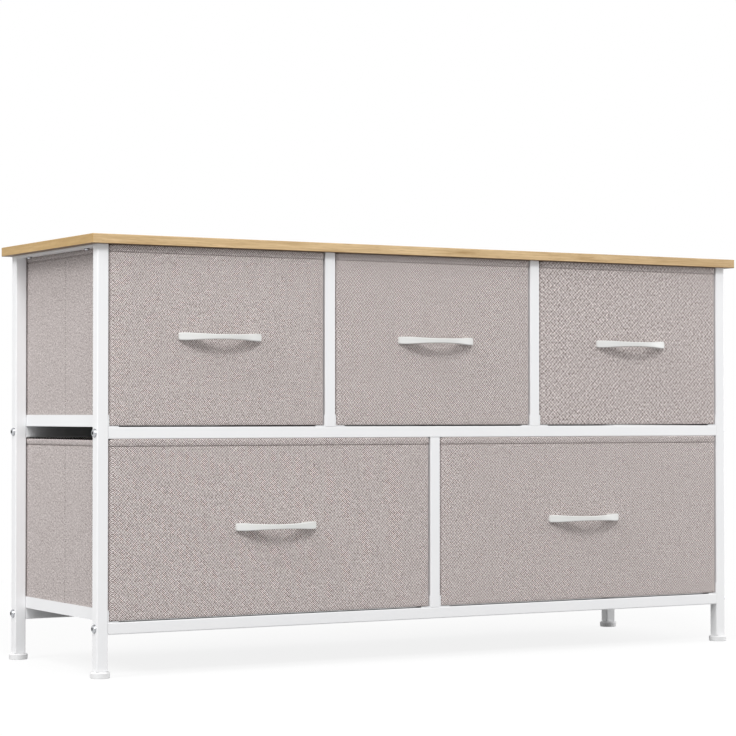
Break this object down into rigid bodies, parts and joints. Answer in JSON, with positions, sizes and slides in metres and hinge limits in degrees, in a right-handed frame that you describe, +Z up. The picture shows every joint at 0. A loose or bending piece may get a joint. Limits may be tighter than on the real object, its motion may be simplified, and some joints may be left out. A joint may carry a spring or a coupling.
{
  "type": "fabric drawer dresser",
  "caption": "Low wide dresser: white square-tube frame with round feet, oak-look top board and soft fabric drawers with bow handles that slide out on L-shaped runners.",
  "frame": {"origin": "on the floor, under the middle of the whole dresser from the front of the handles to the back edge of the top board", "axes": "+X runs along the dresser's width to its right end, the drawers' fronts face -Y, +Z is up"},
  "size_m": [1, 0.312, 0.546],
  "materials": {
    "oak_laminate": "light oak laminate, satin",
    "white_powder_coat": "white powder coat, satin",
    "white_foot_plastic": "moulded, matte",
    "white_handle_plastic": "moulded, matte",
    "zinc_steel": "bright zinc plate",
    "drawer_fabric": "linen-look polyester weave in warm grey",
    "fibreboard": "raw fibreboard"
  },
  "bodies": {
    "frame": {"top_board": "oak_laminate", "leg_front_left": "white_powder_coat", "foot_front_left": "white_foot_plastic", "leg_front_right": "white_powder_coat", "foot_front_right": "white_foot_plastic", "rail_bottom_front": "white_powder_coat", "rail_mid_front": "white_powder_coat", "post_upper_front_1": "white_powder_coat", "post_upper_front_2": "white_powder_coat", "post_lower_front_1": "white_powder_coat", "leg_back_left": "white_powder_coat", "foot_back_left": "white_foot_plastic", "leg_back_right": "white_powder_coat", "foot_back_right": "white_foot_plastic", "rail_bottom_back": "white_powder_coat", "rail_mid_back": "white_powder_coat", "post_upper_back_1": "white_powder_coat", "post_upper_back_2": "white_powder_coat", "post_lower_back_1": "white_powder_coat", "end_bar_left": "white_powder_coat", "runner_upper_left": "white_powder_coat", "runner_lower_left": "white_powder_coat", "end_bar_right": "white_powder_coat", "runner_upper_right": "white_powder_coat", "runner_lower_right": "white_powder_coat", "runners_upper_divider_1": "white_powder_coat", "runners_upper_divider_2": "white_powder_coat", "runners_lower_divider_1": "white_powder_coat", "frame_bolts": "zinc_steel", "top_screws_bar": "zinc_steel", "top_screws_post": "zinc_steel"},
    "drawer_upper_left": {"fabric_bin_upper_left": "drawer_fabric", "front_board_upper_left": "fibreboard", "bottom_board_upper_left": "fibreboard", "handle_upper_left": "white_handle_plastic", "handle_screws_upper_left": "zinc_steel"},
    "drawer_upper_middle": {"fabric_bin_upper_middle": "drawer_fabric", "front_board_upper_middle": "fibreboard", "bottom_board_upper_middle": "fibreboard", "handle_upper_middle": "white_handle_plastic", "handle_screws_upper_middle": "zinc_steel"},
    "drawer_upper_right": {"fabric_bin_upper_right": "drawer_fabric", "front_board_upper_right": "fibreboard", "bottom_board_upper_right": "fibreboard", "handle_upper_right": "white_handle_plastic", "handle_screws_upper_right": "zinc_steel"},
    "drawer_lower_left": {"fabric_bin_lower_left": "drawer_fabric", "front_board_lower_left": "fibreboard", "bottom_board_lower_left": "fibreboard", "handle_lower_left": "white_handle_plastic", "handle_screws_lower_left": "zinc_steel"},
    "drawer_lower_right": {"fabric_bin_lower_right": "drawer_fabric", "front_board_lower_right": "fibreboard", "bottom_board_lower_right": "fibreboard", "handle_lower_right": "white_handle_plastic", "handle_screws_lower_right": "zinc_steel"}
  },
  "joints": [
    {"name": "slide_upper_left", "type": "slide", "parent": "frame", "child": "drawer_upper_left", "axis": [0, -1, 0], "range_m": [0, 0.235]},
    {"name": "slide_upper_middle", "type": "slide", "parent": "frame", "child": "drawer_upper_middle", "axis": [0, -1, 0], "range_m": [0, 0.235]},
    {"name": "slide_upper_right", "type": "slide", "parent": "frame", "child": "drawer_upper_right", "axis": [0, -1, 0], "range_m": [0, 0.235]},
    {"name": "slide_lower_left", "type": "slide", "parent": "frame", "child": "drawer_lower_left", "axis": [0, -1, 0], "range_m": [0, 0.235]},
    {"name": "slide_lower_right", "type": "slide", "parent": "frame", "child": "drawer_lower_right", "axis": [0, -1, 0], "range_m": [0, 0.235]}
  ]
}
